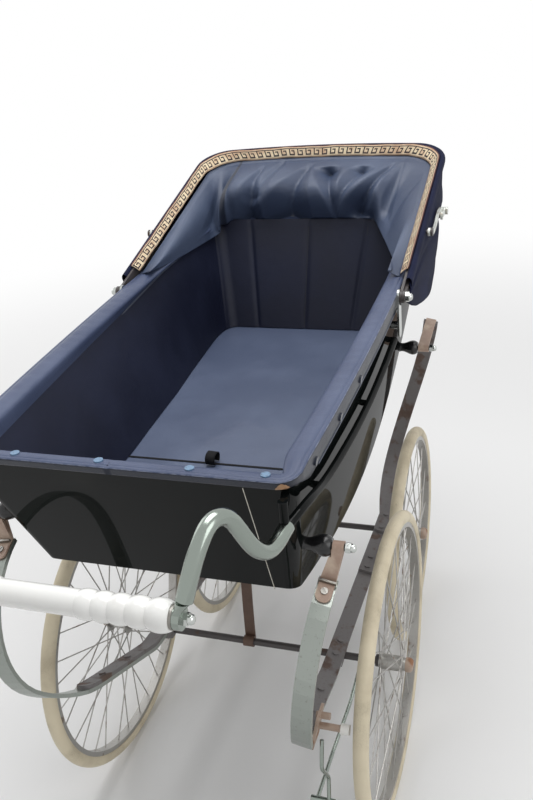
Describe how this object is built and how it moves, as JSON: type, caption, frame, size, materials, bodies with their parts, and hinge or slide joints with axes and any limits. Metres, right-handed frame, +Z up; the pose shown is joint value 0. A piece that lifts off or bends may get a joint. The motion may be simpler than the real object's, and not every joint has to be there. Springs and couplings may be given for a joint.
{
  "type": "baby carriage",
  "caption": "Coach-built baby carriage with a boat-shaped body hung by leather straps from C-springs, wire wheels with solid tyres, a push handle and a fold-down hood.",
  "frame": {"origin": "on the ground, under the middle of the whole box", "axes": "+X forward, away from the handle and towards the hood; +Y left; +Z up"},
  "size_m": [1.211, 0.568, 0.9661],
  "materials": {
    "bar_grey": "worn grey paint over steel, rusty in places",
    "black_paint": "high-gloss black coachwork paint with fine white lines",
    "black_rubber": "black rubber sleeve",
    "board": "floor board covered in navy coated cloth",
    "braid": "cream braid with a dark key pattern",
    "brass": "dull brass",
    "chrome": "aged chrome, a little pitted",
    "dark_steel": "dark painted steel rod",
    "grip_white": "glossy white moulded grip",
    "hood_cloth": "navy woven hood cloth",
    "hood_lining_cloth": "faded grey-blue lining cloth",
    "ledge_wood": "bare ply",
    "navy_leatherette": "navy blue coated cloth with a soft sheen",
    "rust_steel": "rusty steel",
    "shell_inside": "dark underside paint",
    "spring_steel": "dull plated spring steel",
    "strap_leather": "worn brown strap leather",
    "tab": "black webbing",
    "tyre_cream": "aged cream solid rubber",
    "wheel_steel": "aged plated rim, spokes and hub",
    "white_rubber": "white brake rubber"
  },
  "bodies": {
    "carriage": {"axle_saddles": "bar_grey", "body_posts": "black_rubber", "body_shell": "black_paint", "brake_block": "white_rubber", "brake_linkage": "dark_steel", "brake_plate": "rust_steel", "check_strap": "strap_leather", "floor_board": "board", "floor_flap": "board", "floor_ledge": "ledge_wood", "frame_bolts": "bar_grey", "front_axle": "dark_steel", "front_spring_left": "spring_steel", "front_spring_right": "spring_steel", "front_strap_left": "strap_leather", "front_strap_right": "strap_leather", "handle_collars": "chrome", "handle_grip": "grip_white", "handle_nuts": "chrome", "handle_tubes": "chrome", "hood_brackets": "chrome", "lap_plate_left": "bar_grey", "lap_plate_right": "bar_grey", "lining": "navy_leatherette", "main_bar_left": "bar_grey", "main_bar_right": "bar_grey", "pivot_nuts": "chrome", "post_nuts": "chrome", "press_studs": "chrome", "pull_tab": "tab", "rear_axle": "dark_steel", "rear_spring_left": "spring_steel", "rear_spring_right": "spring_steel", "rear_strap_left": "strap_leather", "rear_strap_right": "strap_leather", "rim_cover": "navy_leatherette", "side_rails": "dark_steel", "strap_rivets": "chrome"},
    "rear_wheel_left": {"tyre_rear_left": "tyre_cream", "wheel_rear_left": "wheel_steel", "hub_cap_rear_left": "chrome"},
    "rear_wheel_right": {"tyre_rear_right": "tyre_cream", "wheel_rear_right": "wheel_steel", "hub_cap_rear_right": "chrome"},
    "front_wheel_left": {"tyre_front_left": "tyre_cream", "wheel_front_left": "wheel_steel", "hub_cap_front_left": "chrome"},
    "front_wheel_right": {"tyre_front_right": "tyre_cream", "wheel_front_right": "wheel_steel", "hub_cap_front_right": "chrome"},
    "hood": {"hood_bow_front": "dark_steel", "hood_edging": "hood_cloth", "hood_cover": "hood_cloth", "hood_lining": "hood_lining_cloth"},
    "hood_mid": {"hood_bow_mid": "dark_steel"},
    "hood_iron_left": {"iron_front_left": "chrome"},
    "hood_iron_end_left": {"iron_rear_left": "chrome"},
    "hood_iron_right": {"iron_front_right": "chrome"},
    "hood_iron_end_right": {"iron_rear_right": "chrome"}
  },
  "joints": [
    {"name": "rear_wheel_left_spin", "type": "hinge", "parent": "carriage", "child": "rear_wheel_left", "pos_m": [-0.08635, 0.25, 0.25], "axis": [0, 1, 0], "continuous": true},
    {"name": "rear_wheel_right_spin", "type": "hinge", "parent": "carriage", "child": "rear_wheel_right", "pos_m": [-0.08635, -0.25, 0.25], "axis": [0, 1, 0], "continuous": true},
    {"name": "front_wheel_left_spin", "type": "hinge", "parent": "carriage", "child": "front_wheel_left", "pos_m": [0.33165, 0.21, 0.22], "axis": [0, 1, 0], "continuous": true},
    {"name": "front_wheel_right_spin", "type": "hinge", "parent": "carriage", "child": "front_wheel_right", "pos_m": [0.33165, -0.21, 0.22], "axis": [0, 1, 0], "continuous": true},
    {"name": "hood_fold", "type": "hinge", "parent": "carriage", "child": "hood", "pos_m": [0.10665, 0, 0.815], "axis": [0, -1, 0], "range_deg": [0, 70], "deforming": ["hood_cover", "hood_lining"]},
    {"name": "hood_mid_fold", "type": "hinge", "parent": "carriage", "child": "hood_mid", "pos_m": [0.10665, 0, 0.815], "axis": [0, -1, 0], "range_deg": [0, 36]},
    {"name": "iron_left_swing", "type": "hinge", "parent": "hood", "child": "hood_iron_left", "pos_m": [0.28929, 0.262, 0.86737], "axis": [0, -1, 0], "range_deg": [-62, 0]},
    {"name": "iron_left_elbow", "type": "hinge", "parent": "hood_iron_left", "child": "hood_iron_end_left", "pos_m": [0.45621, 0.262, 0.86213], "axis": [0, -1, 0], "range_deg": [0, 181]},
    {"name": "iron_right_swing", "type": "hinge", "parent": "hood", "child": "hood_iron_right", "pos_m": [0.28929, -0.262, 0.86737], "axis": [0, -1, 0], "range_deg": [-62, 0]},
    {"name": "iron_right_elbow", "type": "hinge", "parent": "hood_iron_right", "child": "hood_iron_end_right", "pos_m": [0.45621, -0.262, 0.86213], "axis": [0, -1, 0], "range_deg": [0, 181]}
  ],
  "couplings": [
    {"joint": "hood_mid_fold", "follows": "hood_fold", "ratio": 0.5},
    {"joint": "iron_left_swing", "follows": "hood_fold", "ratio": -0.874},
    {"joint": "iron_left_elbow", "follows": "hood_fold", "ratio": 2.571},
    {"joint": "iron_right_swing", "follows": "hood_fold", "ratio": -0.874},
    {"joint": "iron_right_elbow", "follows": "hood_fold", "ratio": 2.571}
  ]
}
